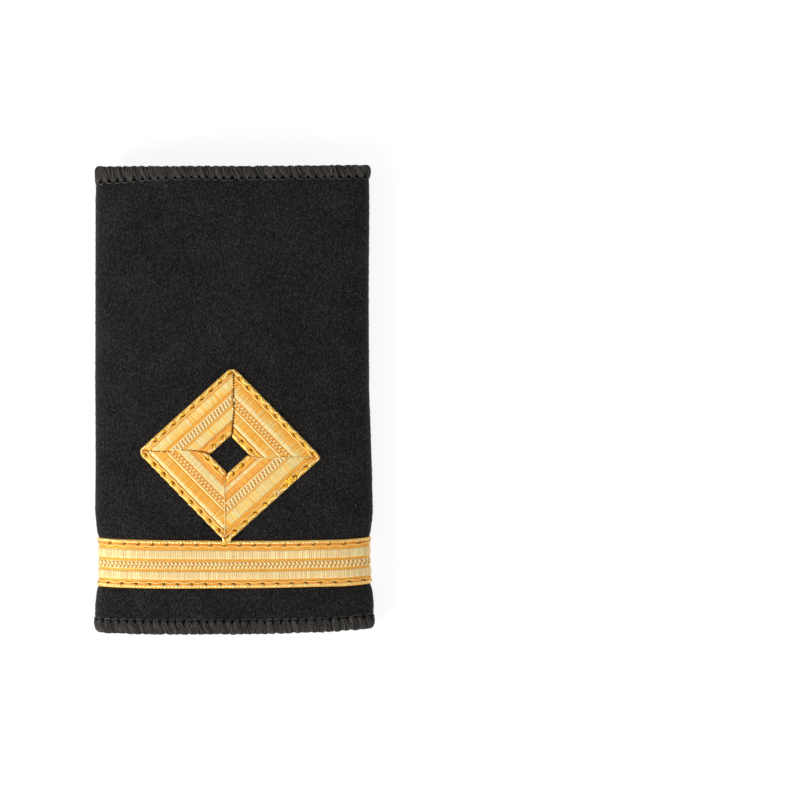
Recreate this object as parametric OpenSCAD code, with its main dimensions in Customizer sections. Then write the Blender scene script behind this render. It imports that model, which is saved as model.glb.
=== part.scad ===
// Slip-on shoulder board, lying on its back: a sleeve of wool cloth that laps over itself behind,
// overlocked round both mouths and down the lap's edge, with one gold lace stripe and an open
// diamond of mitred gold lace sewn on its front.
// X runs across the board, Y along it to the collar end, Z up out of the front. The origin is on
// the surface that the board lies on, under its middle.

/* [Cloth sleeve] */
// Length from end to end, overlocked rims included
sleeve_l = 96; // [80:0.1:110]
// Width over the two folds
sleeve_w = 56; // [50:0.5:66]
// Thickness of the wool cloth
cloth_t = 1.2; // [1:0.1:1.8]
// Height of the strap tunnel at its middle
tunnel_h = 5.6; // [5.3:0.1:7]
// Height of the folds' widest point, as a share of the way from the lap up to the front
fold_share = 0.42; // [0.35:0.01:0.5]
// Squareness of the front's arch: 2 is an ellipse, more is flatter
front_arch = 2.6; // [2.3:0.1:3]
// Squareness of the back
back_arch = 3; // [2.6:0.1:3.4]
// How far the edges of the two mouths and of the lap wander
edge_wander = 1; // [0:0.1:1.2]

/* [Lap behind] */
// Distance of the lap's cloth edge from the middle
flap_edge_x = 14.9; // [12:0.1:17]
// Reach of the layer under the lap, past the middle
under_reach = 11.3; // [8:0.1:14]
// Width of the slope from the fold up onto the lap
ramp_w = 7.4; // [6:0.2:8]
// Rounding of the lap's corners
corner_r = 1.5; // [1:0.1:2]

/* [Overlock] */
// Width of the overlocked rims
overlock_w = 2.5; // [2:0.1:4]
// Width of the overlocked rim down the lap's edge
flap_overlock_w = 2.1; // [1.5:0.1:3]
// Thickness of the wound thread on each face of the cloth
overlock_t = 0.35; // [0.3:0.05:0.6]

/* [Gold lace] */
// Width of the woven lace
lace_w = 10; // [8:0.5:12]
// Thickness of the lace at its cords
lace_t = 0.45; // [0.4:0.05:0.7]
// Distance of the stripe's middle from the sleeve's lower end
stripe_up = 14.35; // [13:0.05:18]
// Distance of the stripe's two ends, behind, from the middle
stripe_end_x = 13.4; // [12.5:0.1:14]
// How far the stripe wanders from square
stripe_wander = 1; // [0:0.1:1.4]

/* [Diamond] */
// Width of the diamond from tip to tip
diamond_w = 37.9; // [34:0.1:40]
// Height of the diamond from tip to tip
diamond_h = 36.4; // [33:0.1:38]
// Width of the lace along the diamond's sides, drawn a little wider than the stripe's
diamond_lace_w = 10.5; // [9:0.1:11]
// Distance of the diamond's middle from the sleeve's middle, to the left
diamond_x = 0.75; // [0:0.05:2]
// How far the diamond's lower tip laps onto the stripe
diamond_lap = 0.8; // [0:0.05:1]
// Turn of the diamond, clockwise
diamond_turn = 1.8; // [0:0.1:3]
// Length over which the diamond's lower tip climbs onto the stripe
tip_climb = 2.6; // [2:0.1:4]

/* [Fit] */
// Clearance between neighbouring pieces
piece_gap = 0.08; // [0.06:0.01:0.12]

/* [Hidden] */

// A row for each cross-section from the lower mouth up: its place as a share of the length, the
// left and right half widths and the front's height as shares of their sizes, and the shift of
// the lap's edge as a share of edge_wander. The lace draws the sleeve in.
AT = 0;
LEFT = 1;
RIGHT = 2;
FRONT = 3;
LAP = 4;
OUTLINE = [
    [0.000, 1.000, 1.003, 1.000, 0.10],
    [0.028, 1.014, 1.017, 1.005, 0.15],
    [0.060, 1.013, 1.024, 1.005, 0.20],
    [0.094, 1.000, 1.012, 0.990, 0.40],
    [0.106, 0.976, 0.992, 0.975, 0.60],
    [0.152, 0.974, 0.982, 0.970, 0.65],
    [0.199, 0.976, 0.980, 0.975, 0.50],
    [0.212, 0.998, 0.999, 0.988, 0.40],
    [0.258, 1.014, 1.016, 0.998, 0.30],
    [0.350, 1.011, 1.009, 1.000, 0.30],
    [0.435, 1.011, 1.000, 1.003, 0.20],
    [0.520, 1.013, 0.989, 1.005, 0.05],
    [0.735, 1.012, 0.986, 1.008, -0.05],
    [0.925, 1.011, 0.990, 1.005, -0.15],
    [1.000, 1.003, 0.986, 1.000, -0.20]
];

// A row for each wrap angle round the sleeve: how far the lower and the upper mouth's edges
// stand out there, as shares of edge_wander
WRAP = 0;
LOWER = 1;
UPPER = 2;
MOUTHS = [
    [-120, -0.80, -0.15],
    [-60, -0.80, -0.15],
    [-30, -0.60, -0.10],
    [0, -1.05, 0.10],
    [30, -0.88, 0.03],
    [45, -0.48, 0.00],
    [90, 0.08, -0.20],
    [120, 0.08, -0.20],
    [150, -0.10, -0.20],
    [180, -0.40, -0.15],
    [210, -0.30, -0.20],
    [240, -0.25, -0.25],
    [270, -0.25, -0.20],
    [300, -0.35, -0.20]
];

// A row for each wrap angle: shift of the stripe's middle line towards the collar, as a share of
// stripe_wander, and the stripe's width there, as a share of lace_w
SHIFT = 1;
BREADTH = 2;
STRIPE_RUN = [
    [-80, 0.78, 0.970],
    [0, 0.90, 0.970],
    [20, 0.62, 0.972],
    [40, 0.31, 0.975],
    [60, 0.20, 0.975],
    [76, 0.05, 0.980],
    [90, 0.00, 0.990],
    [104, 0.00, 1.005],
    [120, 0.03, 1.010],
    [145, 0.20, 1.010],
    [180, 0.55, 1.010],
    [215, 0.20, 1.000],
    [255, -0.35, 1.000]
];

// Relief of the lace, a row for each place from one edge to the middle: its share of the half
// width, and its share of the thickness. Edge cord, stitched groove, inner cord, ribbed band,
// groove and herringbone.
ACROSS = 0;
HEIGHT = 1;
LACE_RELIEF = [
    [0.00, 0.60],
    [0.08, 1.00],
    [0.22, 0.62],
    [0.34, 0.86],
    [0.70, 0.80],
    [0.80, 0.60],
    [1.00, 0.86]
];

cloth_l = sleeve_l - 2 * (overlock_t + piece_gap);
half_w = sleeve_w / 2;
// Distances of the stripe's and the diamond's middles from the sleeve's middle, downwards
stripe_y = sleeve_l / 2 - stripe_up;
diamond_y = stripe_y - lace_w / 2 + diamond_lap - diamond_h / 2;
fold_x = half_w - cloth_t / 2;
// Room between the two layers of the lap for the lace's end under the lap's rim
lap_gap = max(lace_t, overlock_t) + overlock_t + 3 * piece_gap;
lap_rise = cloth_t + lap_gap;
fold_h = lap_rise + tunnel_h + cloth_t;
back_drop = fold_share * fold_h;
front_rise = fold_h - back_drop;
// The back rests on its rims, or on the lace's end if that reaches lower
end_rise = back_drop * (1 - pow(1 - pow(stripe_end_x / fold_x, back_arch), 1 / back_arch));
base_h = max(overlock_t, lace_t - end_rise) + piece_gap;
flap_z = base_h + cloth_t / 2;
fold_z = flap_z + back_drop;
// Where the under layer starts down its slope: just past the lap's rim
ramp_top_x = flap_edge_x + edge_wander + overlock_t + 3 * piece_gap;

// Wrap angle of a place behind: right fold 0, front 90, left fold 180, middle of the lap 270
function back_angle(x) = acos(pow(x / fold_x, back_arch / 2));
under_angle = back_angle(under_reach) - 180;
flap_angle = 360 - back_angle(flap_edge_x);
corner_angle = 360 - back_angle(flap_edge_x - corner_r);
stripe_first_angle = -back_angle(stripe_end_x);
stripe_last_angle = 180 + back_angle(stripe_end_x);

WRAP_STEPS = 46;
CORNER_STEPS = 3;
WRAP_ANGLES = concat(
    [for (i = [0:WRAP_STEPS]) under_angle + (corner_angle - under_angle) * i / WRAP_STEPS],
    [for (i = [1:CORNER_STEPS])
        360 - back_angle(flap_edge_x - corner_r * (1 - i / CORNER_STEPS))]);

function column(table, c) = [for (row = table) [row[0], row[c]]];
function smooth(t) = let (u = max(0, min(1, t))) u * u * (3 - 2 * u);
function outline(y, c) = lookup(max(0, min(1, y / cloth_l + 0.5)), column(OUTLINE, c));

// Middle of the cloth's thickness at a wrap angle and a place along the length. Behind, only
// the folds follow the outline, and the lap's edge wanders by itself.
function half_width_at(a, y) = half_w * outline(y, cos(a) > 0 ? RIGHT : LEFT) - cloth_t / 2;
function middle(a, y) =
    let (arch = sin(a) >= 0 ? front_arch : back_arch,
         c = pow(abs(cos(a)), 2 / arch),
         w = half_width_at(a, y),
         x = sin(a) >= 0 ? w * c : fold_x * c + (w - fold_x) * pow(c, 4),
         wander = edge_wander * outline(y, LAP) * smooth((a - 265) / 30),
         lift = a < 0 ? lap_rise * smooth((ramp_top_x + ramp_w - x) / ramp_w) : 0)
    [sign(cos(a)) * x + wander, sin(a) >= 0
        ? fold_z + front_rise * outline(y, FRONT) * pow(sin(a), 2 / arch)
        : fold_z - back_drop * pow(-sin(a), 2 / arch) + lift];

// A point at a height over the middle of the cloth, outward
NEAR = 0.5;
function over(a, y, h) =
    let (m = middle(a, y),
         t = middle(a + NEAR, y) - middle(a - NEAR, y),
         n = [t[1], -t[0]] / norm(t))
    [m[0] + h * n[0], y, m[1] + h * n[1]];

// The cloth's cut ends, with the lap's corners rounded off
function corner_cut(a) =
    a <= corner_angle ? 0 :
    let (x = fold_x * pow(cos(a), 2 / back_arch),
         g = max(0, min(1, (x - flap_edge_x) / corner_r + 1)))
    corner_r * (1 - sqrt(1 - g * g));
function lower_y(a) = -cloth_l / 2 - edge_wander * lookup(a, column(MOUTHS, LOWER)) + corner_cut(a);
function upper_y(a) = cloth_l / 2 + edge_wander * lookup(a, column(MOUTHS, UPPER)) - corner_cut(a);

// A closed solid between two grids of points with the same rows and columns
module slab(outer, inner) {
    rows = len(outer);
    cols = len(outer[0]);
    size = rows * cols;
    points = concat([for (r = outer) for (p = r) p], [for (r = inner) for (p = r) p]);
    function at(i, j) = i * cols + j;
    function quad(a, b, c, d) = [[a, c, b], [a, d, c]];
    faces = concat(
        [for (i = [0:rows - 2]) for (j = [0:cols - 2]) each
            quad(at(i, j), at(i, j + 1), at(i + 1, j + 1), at(i + 1, j))],
        [for (i = [0:rows - 2]) for (j = [0:cols - 2]) each
            quad(size + at(i, j), size + at(i + 1, j),
                 size + at(i + 1, j + 1), size + at(i, j + 1))],
        [for (i = [0:rows - 2]) each
            quad(at(i, 0), at(i + 1, 0), size + at(i + 1, 0), size + at(i, 0))],
        [for (i = [0:rows - 2]) each
            quad(at(i, cols - 1), size + at(i, cols - 1),
                 size + at(i + 1, cols - 1), at(i + 1, cols - 1))],
        [for (j = [0:cols - 2]) each
            quad(at(0, j), size + at(0, j), size + at(0, j + 1), at(0, j + 1))],
        [for (j = [0:cols - 2]) each
            quad(at(rows - 1, j), at(rows - 1, j + 1),
                 size + at(rows - 1, j + 1), size + at(rows - 1, j))]);
    polyhedron(points, faces, convexity = 8);
}

// One length of cloth, wrapped once round and lapped behind
module cloth_sleeve() {
    last = len(OUTLINE) - 1;
    // The end rows follow the mouths, and the others keep to the outline's own places
    function row_y(i, a) =
        let (low = lower_y(a), high = upper_y(a), y = (OUTLINE[i][AT] - 0.5) * cloth_l)
        i == 0 ? low : i == last ? high
        : max(low + i * overlock_t, min(high - (last - i) * overlock_t, y));
    function wall(h) = [for (a = WRAP_ANGLES) [for (i = [0:last]) over(a, row_y(i, a), h)]];
    color([0.11, 0.11, 0.11]) slab(wall(cloth_t / 2), wall(-cloth_t / 2));
}

// Section of an overlocked rim of width w round a cut edge: distance out from the edge, and
// height over the middle of the cloth. It runs from one face, round the edge, to the other face.
RIM_BEND = 2; // an even number
RIM_ROUND = 0.62;
function rim_outer(w) =
    let (top = cloth_t / 2 + piece_gap + overlock_t, r = top * RIM_ROUND,
         out = piece_gap + overlock_t)
    concat([[-w, top - overlock_t * RIM_ROUND], [-w + overlock_t, top]],
           [for (i = [0:RIM_BEND]) let (b = 90 * i / RIM_BEND)
               [out - r + r * sin(b), top - r + r * cos(b)]],
           [for (i = [0:RIM_BEND]) let (b = 90 + 90 * i / RIM_BEND)
               [out - r + r * sin(b), r - top + r * cos(b)]],
           [[-w + overlock_t, -top], [-w, overlock_t * RIM_ROUND - top]]);
function rim_inner(w) =
    let (face = cloth_t / 2 + piece_gap, steps = 2 + RIM_BEND / 2)
    concat([for (i = [0:steps]) [-w + (w + piece_gap) * i / steps, face]],
           [for (i = [1:RIM_BEND]) [piece_gap, face * (1 - 2 * i / (RIM_BEND + 1))]],
           [for (i = [0:steps]) [piece_gap - (w + piece_gap) * i / steps, -face]]);

// Thread wound round a mouth's cut edge; side is 1 at the upper mouth and -1 at the lower. The
// band's inner line stays straight round the lap's corners.
module mouth_overlock(side) {
    function at_mouth(a, section) = [for (p = section)
        over(a, (side > 0 ? upper_y(a) : lower_y(a)) + side * p[0], side * p[1])];
    color([0.23, 0.22, 0.21]) slab(
        [for (a = WRAP_ANGLES) at_mouth(a, rim_outer(overlock_w - corner_cut(a)))],
        [for (a = WRAP_ANGLES) at_mouth(a, rim_inner(overlock_w - corner_cut(a)))]);
}

module top_overlock() mouth_overlock(1);

module bottom_overlock() mouth_overlock(-1);

// Thread wound down the lap's edge, between the two mouths' rims
module flap_overlock() {
    low = lower_y(corner_angle) + overlock_w + piece_gap;
    high = upper_y(corner_angle) - overlock_w - piece_gap;
    inside = [for (i = [len(OUTLINE) - 1:-1:0])
        let (y = (OUTLINE[i][AT] - 0.5) * cloth_l)
        if (y > low + overlock_t && y < high - overlock_t) y];
    function edge(section) = [for (y = concat([high], inside, [low]))
        let (m = over(flap_angle, y, 0),
             n = over(flap_angle, y, 1) - m,
             t = [-n[2], 0, n[0]])
        [for (p = section) m + p[0] * t + p[1] * n]];
    color([0.23, 0.22, 0.21])
        slab(edge(rim_outer(flap_overlock_w)), edge(rim_inner(flap_overlock_w)));
}

// Places across the lace, from -0.5 to 0.5 of its width, with the relief's height
function lace_section() =
    let (n = len(LACE_RELIEF))
    concat([for (row = LACE_RELIEF) [(row[ACROSS] - 1) / 2, row[HEIGHT] * lace_t]],
           [for (i = [n - 2:-1:0])
               [(1 - LACE_RELIEF[i][ACROSS]) / 2, LACE_RELIEF[i][HEIGHT] * lace_t]]);

// The stripe: lace sewn round the front, its two ends turned behind
module rank_stripe() {
    seat = cloth_t / 2 + piece_gap;
    angles = concat([stripe_first_angle],
        [for (a = WRAP_ANGLES) if (a > stripe_first_angle + 2 && a < stripe_last_angle - 2) a],
        [stripe_last_angle]);
    function run_y(a, across) = stripe_wander * lookup(a, column(STRIPE_RUN, SHIFT)) - stripe_y
        + across * lace_w * lookup(a, column(STRIPE_RUN, BREADTH));
    function band(relief) = [for (a = angles) [for (p = lace_section())
        over(a, run_y(a, p[0]), seat + relief * p[1])]];
    color([0.93, 0.70, 0.33]) slab(band(1), band(0));
}

// Height of the front's outer face over a place on it
function front_face(x, y) =
    let (f = pow(abs(x) / half_width_at(x > 0 ? 0 : 180, y), front_arch),
         z = front_rise * outline(y, FRONT) * pow(1 - f, 1 / front_arch),
         slope = x == 0 ? 0 : z * f / (abs(x) * (1 - f)))
    fold_z + z + cloth_t / 2 * sqrt(1 + slope * slope);

// Lift of the diamond's lower tip where it laps onto the stripe
function tip_lift(y) =
    (lace_t + piece_gap) * smooth(1 - (y + stripe_y - lace_w / 2 - lace_t) / tip_climb);

// Shares along an arm where its cross-sections stand, closer at the tips
ARM_AT = [0, 0.06, 0.14, 0.3, 0.5, 0.7, 0.86, 0.94, 1];

// One mitred length of lace along a side of the diamond, from tip k to the next, clockwise from
// the upper tip. The mitres run from the tips straight to the middle.
module diamond_arm(k) {
    tips = [[0, diamond_h / 2], [diamond_w / 2, 0], [0, -diamond_h / 2], [-diamond_w / 2, 0]];
    a = tips[k];
    b = tips[(k + 1) % 4];
    along = (b - a) / norm(b - a);
    inward = [along[1], -along[0]];
    function on_mitre(tip, depth, clear) = tip * (1 - depth / abs(tip * inward)) + clear * along;
    function place(u, p) =
        let (depth = (p[0] + 0.5) * diamond_lace_w,
             q = on_mitre(a, depth, piece_gap) * (1 - u) + on_mitre(b, depth, -piece_gap) * u)
        [q[0] * cos(diamond_turn) + q[1] * sin(diamond_turn) - diamond_x,
         q[1] * cos(diamond_turn) - q[0] * sin(diamond_turn) - diamond_y];
    function face(relief) = [for (u = ARM_AT) [for (p = lace_section())
        let (q = place(u, p))
        [q[0], q[1], front_face(q[0], q[1]) + piece_gap + tip_lift(q[1]) + relief * p[1]]]];
    color([0.93, 0.70, 0.33]) slab(face(1), face(0));
}

module diamond_upper_right() diamond_arm(0);

module diamond_lower_right() diamond_arm(1);

module diamond_lower_left() diamond_arm(2);

module diamond_upper_left() diamond_arm(3);

cloth_sleeve();
top_overlock();
bottom_overlock();
flap_overlock();
rank_stripe();
diamond_upper_left();
diamond_upper_right();
diamond_lower_right();
diamond_lower_left();
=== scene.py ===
import math

import bpy
import numpy as np
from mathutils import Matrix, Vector


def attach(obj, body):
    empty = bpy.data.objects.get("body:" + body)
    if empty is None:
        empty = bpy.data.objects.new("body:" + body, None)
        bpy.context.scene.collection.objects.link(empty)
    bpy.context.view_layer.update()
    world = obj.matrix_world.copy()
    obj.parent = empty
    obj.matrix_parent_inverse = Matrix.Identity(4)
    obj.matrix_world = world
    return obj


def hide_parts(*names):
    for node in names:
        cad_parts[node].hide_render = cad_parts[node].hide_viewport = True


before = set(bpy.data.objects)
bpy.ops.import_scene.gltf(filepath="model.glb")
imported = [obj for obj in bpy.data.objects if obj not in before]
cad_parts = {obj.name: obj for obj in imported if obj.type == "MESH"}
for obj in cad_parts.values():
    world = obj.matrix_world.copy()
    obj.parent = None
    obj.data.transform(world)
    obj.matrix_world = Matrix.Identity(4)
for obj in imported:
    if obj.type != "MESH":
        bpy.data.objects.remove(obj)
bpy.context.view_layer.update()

# A slip-on shoulder board lying on its back: a black wool sleeve with overlocked rims and sewn
# gold lace. Lengths are in millimetres until a mesh is made.
rng = np.random.default_rng(7)


# ---- The board's own sizes and tables, as in the part's source ----

SLEEVE_L, SLEEVE_W, CLOTH_T, TUNNEL_H = 96, 56, 1.2, 5.6
FOLD_SHARE, FRONT_ARCH, BACK_ARCH, EDGE_WANDER = 0.42, 2.6, 3, 1
FLAP_EDGE_X, UNDER_REACH, RAMP_W, CORNER_R = 14.9, 11.3, 7.4, 1.5
OVERLOCK_W, FLAP_OVERLOCK_W, OVERLOCK_T = 2.5, 2.1, 0.35
LACE_W, LACE_T, STRIPE_UP, STRIPE_END_X, STRIPE_WANDER = 10, 0.45, 14.35, 13.4, 1
DIAMOND_W, DIAMOND_H, DIAMOND_X, DIAMOND_LAP, DIAMOND_TURN = 37.9, 36.4, 0.75, 0.8, 1.8
DIAMOND_LACE_W, TIP_CLIMB, GAP, NEAR = 10.5, 2.6, 0.08, 0.5

# A row for each share of the cloth's length, from its lower end: how far the left and the right fold
# stand out and how high the front rises, as shares, and the shift of the lap's edge
LEFT, RIGHT, FRONT, LAP = 1, 2, 3, 4
OUTLINE = np.array([
    [0.000, 1.000, 1.003, 1.000, 0.10],
    [0.028, 1.014, 1.017, 1.005, 0.15],
    [0.060, 1.013, 1.024, 1.005, 0.20],
    [0.094, 1.000, 1.012, 0.990, 0.40],
    [0.106, 0.976, 0.992, 0.975, 0.60],
    [0.152, 0.974, 0.982, 0.970, 0.65],
    [0.199, 0.976, 0.980, 0.975, 0.50],
    [0.212, 0.998, 0.999, 0.988, 0.40],
    [0.258, 1.014, 1.016, 0.998, 0.30],
    [0.350, 1.011, 1.009, 1.000, 0.30],
    [0.435, 1.011, 1.000, 1.003, 0.20],
    [0.520, 1.013, 0.989, 1.005, 0.05],
    [0.735, 1.012, 0.986, 1.008, -0.05],
    [0.925, 1.011, 0.990, 1.005, -0.15],
    [1.000, 1.003, 0.986, 1.000, -0.20]])
# A row for each wrap angle: how far the lower and the upper mouth's edges stand out
LOWER, UPPER = 1, 2
MOUTHS = np.array([
    [-120, -0.80, -0.15], [-60, -0.80, -0.15], [-30, -0.60, -0.10], [0, -1.05, 0.10],
    [30, -0.88, 0.03], [45, -0.48, 0.00], [90, 0.08, -0.20], [120, 0.08, -0.20],
    [150, -0.10, -0.20], [180, -0.40, -0.15], [210, -0.30, -0.20], [240, -0.25, -0.25],
    [270, -0.25, -0.20], [300, -0.35, -0.20]])
# A row for each wrap angle: the shift of the stripe's middle line, and its breadth, as shares
SHIFT, BREADTH = 1, 2
STRIPE_RUN = np.array([
    [-80, 0.78, 0.970], [0, 0.90, 0.970], [20, 0.62, 0.972], [40, 0.31, 0.975], [60, 0.20, 0.975],
    [76, 0.05, 0.980], [90, 0.00, 0.990], [104, 0.00, 1.005], [120, 0.03, 1.010], [145, 0.20, 1.010],
    [180, 0.55, 1.010], [215, 0.20, 1.000], [255, -0.35, 1.000]])

CLOTH_L = SLEEVE_L - 2 * (OVERLOCK_T + GAP)
HALF_W = SLEEVE_W / 2
STRIPE_Y = SLEEVE_L / 2 - STRIPE_UP
DIAMOND_Y = STRIPE_Y - LACE_W / 2 + DIAMOND_LAP - DIAMOND_H / 2
FOLD_X = HALF_W - CLOTH_T / 2
LAP_RISE = CLOTH_T + max(LACE_T, OVERLOCK_T) + OVERLOCK_T + 3 * GAP
FOLD_H = LAP_RISE + TUNNEL_H + CLOTH_T
BACK_DROP = FOLD_SHARE * FOLD_H
FRONT_RISE = FOLD_H - BACK_DROP
END_RISE = BACK_DROP * (1 - (1 - (STRIPE_END_X / FOLD_X) ** BACK_ARCH) ** (1 / BACK_ARCH))
FOLD_Z = max(OVERLOCK_T, LACE_T - END_RISE) + GAP + CLOTH_T / 2 + BACK_DROP
RAMP_TOP_X = FLAP_EDGE_X + EDGE_WANDER + OVERLOCK_T + 3 * GAP


def back_angle(x):
    return math.degrees(math.acos((x / FOLD_X) ** (BACK_ARCH / 2)))


UNDER_ANGLE = back_angle(UNDER_REACH) - 180
FLAP_ANGLE = 360 - back_angle(FLAP_EDGE_X)
CORNER_ANGLE = 360 - back_angle(FLAP_EDGE_X - CORNER_R)
STRIPE_FIRST, STRIPE_LAST = -back_angle(STRIPE_END_X), 180 + back_angle(STRIPE_END_X)


def smooth(t):
    u = np.clip(t, 0, 1)
    return u * u * (3 - 2 * u)


# The outline's columns, sampled every 0.1 mm and rounded off over about half a millimetre
FINE_Y = np.linspace(-60, 60, 1201)
KERNEL_HALF, KERNEL_SIGMA = 18, 6
KERNEL = np.exp(-0.5 * (np.arange(-KERNEL_HALF, KERNEL_HALF + 1) / KERNEL_SIGMA) ** 2)
KERNEL /= KERNEL.sum()


def rounded(column):
    values = np.interp(np.clip(FINE_Y / CLOTH_L + 0.5, 0, 1), OUTLINE[:, 0], column)
    return np.convolve(np.pad(values, KERNEL_HALF, mode="edge"), KERNEL, mode="valid")


FINE = [rounded(column) for column in OUTLINE.T]


def outline(y, c):
    return np.interp(y, FINE_Y, FINE[c])


def ripple(x, y, z):
    """Slight unevenness of the cloth's faces, along its outward normal. It dies out at the mouths and
    folds."""
    waves = (0.035 * np.sin(0.33 * x + 0.19 * y + 1.3) + 0.035 * np.sin(0.16 * x - 0.31 * y + 0.7 + 0.3 * z)
             + 0.025 * np.sin(0.52 * y + 0.13 * x + 2.1) + 0.02 * np.sin(0.61 * x - 0.42 * y + 4.0))
    return waves * smooth((CLOTH_L / 2 - 2 - np.abs(y)) / 8) * smooth((HALF_W - 1.5 - np.abs(x)) / 6)


def middle(a, y):
    """Middle of the cloth's thickness at a wrap angle: right fold 0, front 90, left fold 180, lap 270."""
    ca, sa = np.cos(np.radians(a)), np.sin(np.radians(a))
    front = sa >= 0
    arch = np.where(front, FRONT_ARCH, BACK_ARCH)
    c, s = np.abs(ca) ** (2 / arch), np.abs(sa) ** (2 / arch)
    w = HALF_W * np.where(ca > 0, outline(y, RIGHT), outline(y, LEFT)) - CLOTH_T / 2
    x = np.where(front, w * c, FOLD_X * c + (w - FOLD_X) * c ** 4)
    wander = EDGE_WANDER * outline(y, LAP) * smooth((a - 265) / 30)
    lift = np.where(a < 0, LAP_RISE * smooth((RAMP_TOP_X + RAMP_W - x) / RAMP_W), 0)
    z = np.where(front, FOLD_Z + FRONT_RISE * outline(y, FRONT) * s, FOLD_Z - BACK_DROP * s + lift)
    return np.stack([np.sign(ca) * x + wander, z], -1)


def over(a, y, h):
    """A point at a height over the middle of the cloth, outward."""
    a, y, h = np.broadcast_arrays(a, y, h)
    m = middle(a, y)
    t = middle(a + NEAR, y) - middle(a - NEAR, y)
    n = np.stack([t[..., 1], -t[..., 0]], -1) / np.linalg.norm(t, axis=-1, keepdims=True)
    p = m + (h + ripple(m[..., 0], y, m[..., 1]))[..., None] * n
    return np.stack([p[..., 0], y, p[..., 1]], -1)


def corner_cut(a):
    """How much the rounding of the lap's corners takes off the cloth's ends."""
    x = FOLD_X * np.abs(np.cos(np.radians(a))) ** (2 / BACK_ARCH)
    g = np.where(a <= CORNER_ANGLE, 0, np.clip((x - FLAP_EDGE_X) / CORNER_R + 1, 0, 1))
    return CORNER_R * (1 - np.sqrt(1 - g * g))


def mouth_y(a, side):
    """Place of the cloth's cut end along the board, at the upper mouth (side 1) or the lower (-1)."""
    edge = np.interp(a, MOUTHS[:, 0], MOUTHS[:, UPPER if side > 0 else LOWER])
    return side * (CLOTH_L / 2 + EDGE_WANDER * edge - corner_cut(a))


# Length round the cloth's middle line against the wrap angle
ARC_A = np.linspace(-140, 320, 92001)
ARC_S = np.concatenate([[0], np.cumsum(np.linalg.norm(np.diff(middle(ARC_A, 0.0), axis=0), axis=1))])


def angle_at(s):
    return np.interp(s, ARC_S, ARC_A)


def arc_at(a):
    return np.interp(a, ARC_A, ARC_S)


S_UNDER, S_FLAP, S_FRONT = arc_at(UNDER_ANGLE), arc_at(FLAP_ANGLE), arc_at(90.0)


# ---- Meshes ----

class Shape:
    """A mesh put together from grids and tubes, with a material slot for each."""

    def __init__(self):
        self.points, self.faces, self.slots, self.count = [], [], [], 0

    def add(self, points, faces, slot):
        self.points.append(points.reshape(-1, 3))
        self.faces.append(faces.reshape(-1, faces.shape[-1]) + self.count)
        self.slots.append(np.broadcast_to(slot, len(self.faces[-1])))
        self.count += len(self.points[-1])

    def tubes(self, rings, slot=0):
        """rings is [tube, ring, side, xyz]; each tube closes round its sides and at its two ends. The
        slot may differ from tube to tube."""
        n, m, k, _ = rings.shape
        at = np.arange(n * m * k).reshape(n, m, k)
        nxt = np.roll(at, -1, axis=2)
        slot = np.broadcast_to(slot, n)
        quads = np.stack([at[:, :-1], nxt[:, :-1], nxt[:, 1:], at[:, 1:]], -1)
        self.add(rings, quads, np.repeat(slot, (m - 1) * k))
        base = self.count - n * m * k
        for ring, turn in ((0, 1), (m - 1, -1)):
            self.faces.append(at[:, ring, ::-turn] + base)
            self.slots.append(slot)

    def grid(self, points, slot=0, flip=False, loop=False):
        """points is [row, column, xyz]; with loop the columns close on themselves."""
        m, k, _ = points.shape
        at = np.arange(m * k).reshape(m, k)
        nxt = np.roll(at, -1, axis=1) if loop else at[:, 1:]
        cur = at if loop else at[:, :-1]
        quads = np.stack([cur[:-1], nxt[:-1], nxt[1:], cur[1:]], -1).reshape(-1, 4)
        self.add(points, quads[:, ::-1] if flip else quads, slot)

    def slab(self, section, slot=0, flip=False):
        """section is [row, place round it, xyz], closed on itself and capped at its first and last row."""
        m, k, _ = section.shape
        self.grid(section, slot, flip, loop=True)
        i = np.arange(k // 2 - 1)
        cap = np.stack([i, i + 1, k - 2 - i, k - 1 - i], -1) + self.count - m * k
        for c in (cap[:, ::-1], cap + (m - 1) * k):
            self.faces.append(c[:, ::-1] if flip else c)
            self.slots.append(np.full(len(cap), slot))

    def build(self, name, materials, slot_name, body="root"):
        mesh = bpy.data.meshes.new(name)
        points = np.concatenate(self.points) / 1000
        sizes = np.concatenate([np.full(len(f), f.shape[1]) for f in self.faces])
        corners = np.concatenate([f.ravel() for f in self.faces])
        mesh.vertices.add(len(points))
        mesh.vertices.foreach_set("co", points.astype(np.float32).ravel())
        mesh.loops.add(len(corners))
        mesh.loops.foreach_set("vertex_index", corners.astype(np.int32))
        mesh.polygons.add(len(sizes))
        mesh.polygons.foreach_set("loop_start", (np.cumsum(sizes) - sizes).astype(np.int32))
        mesh.polygons.foreach_set("loop_total", sizes.astype(np.int32))
        slots = np.concatenate(self.slots)
        used = np.unique(slots)
        for slot in used:
            mesh.materials.append(materials[slot])
        mesh.polygons.foreach_set("material_index", np.searchsorted(used, slots).astype(np.int32))
        mesh.polygons.foreach_set("use_smooth", np.ones(len(sizes), bool))
        mesh.update(calc_edges=True)
        mesh.validate()
        obj = put(name, mesh)
        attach(obj, body)
        print(name, "triangles", int((sizes - 2).sum()))
        return obj


def put(name, data):
    obj = bpy.data.objects.new(name, data)
    bpy.context.scene.collection.objects.link(obj)
    return obj


def join(u, v, h):
    """Places (u, v, h) from one or many of each."""
    return np.stack(np.broadcast_arrays(u, v, h), -1)


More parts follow.
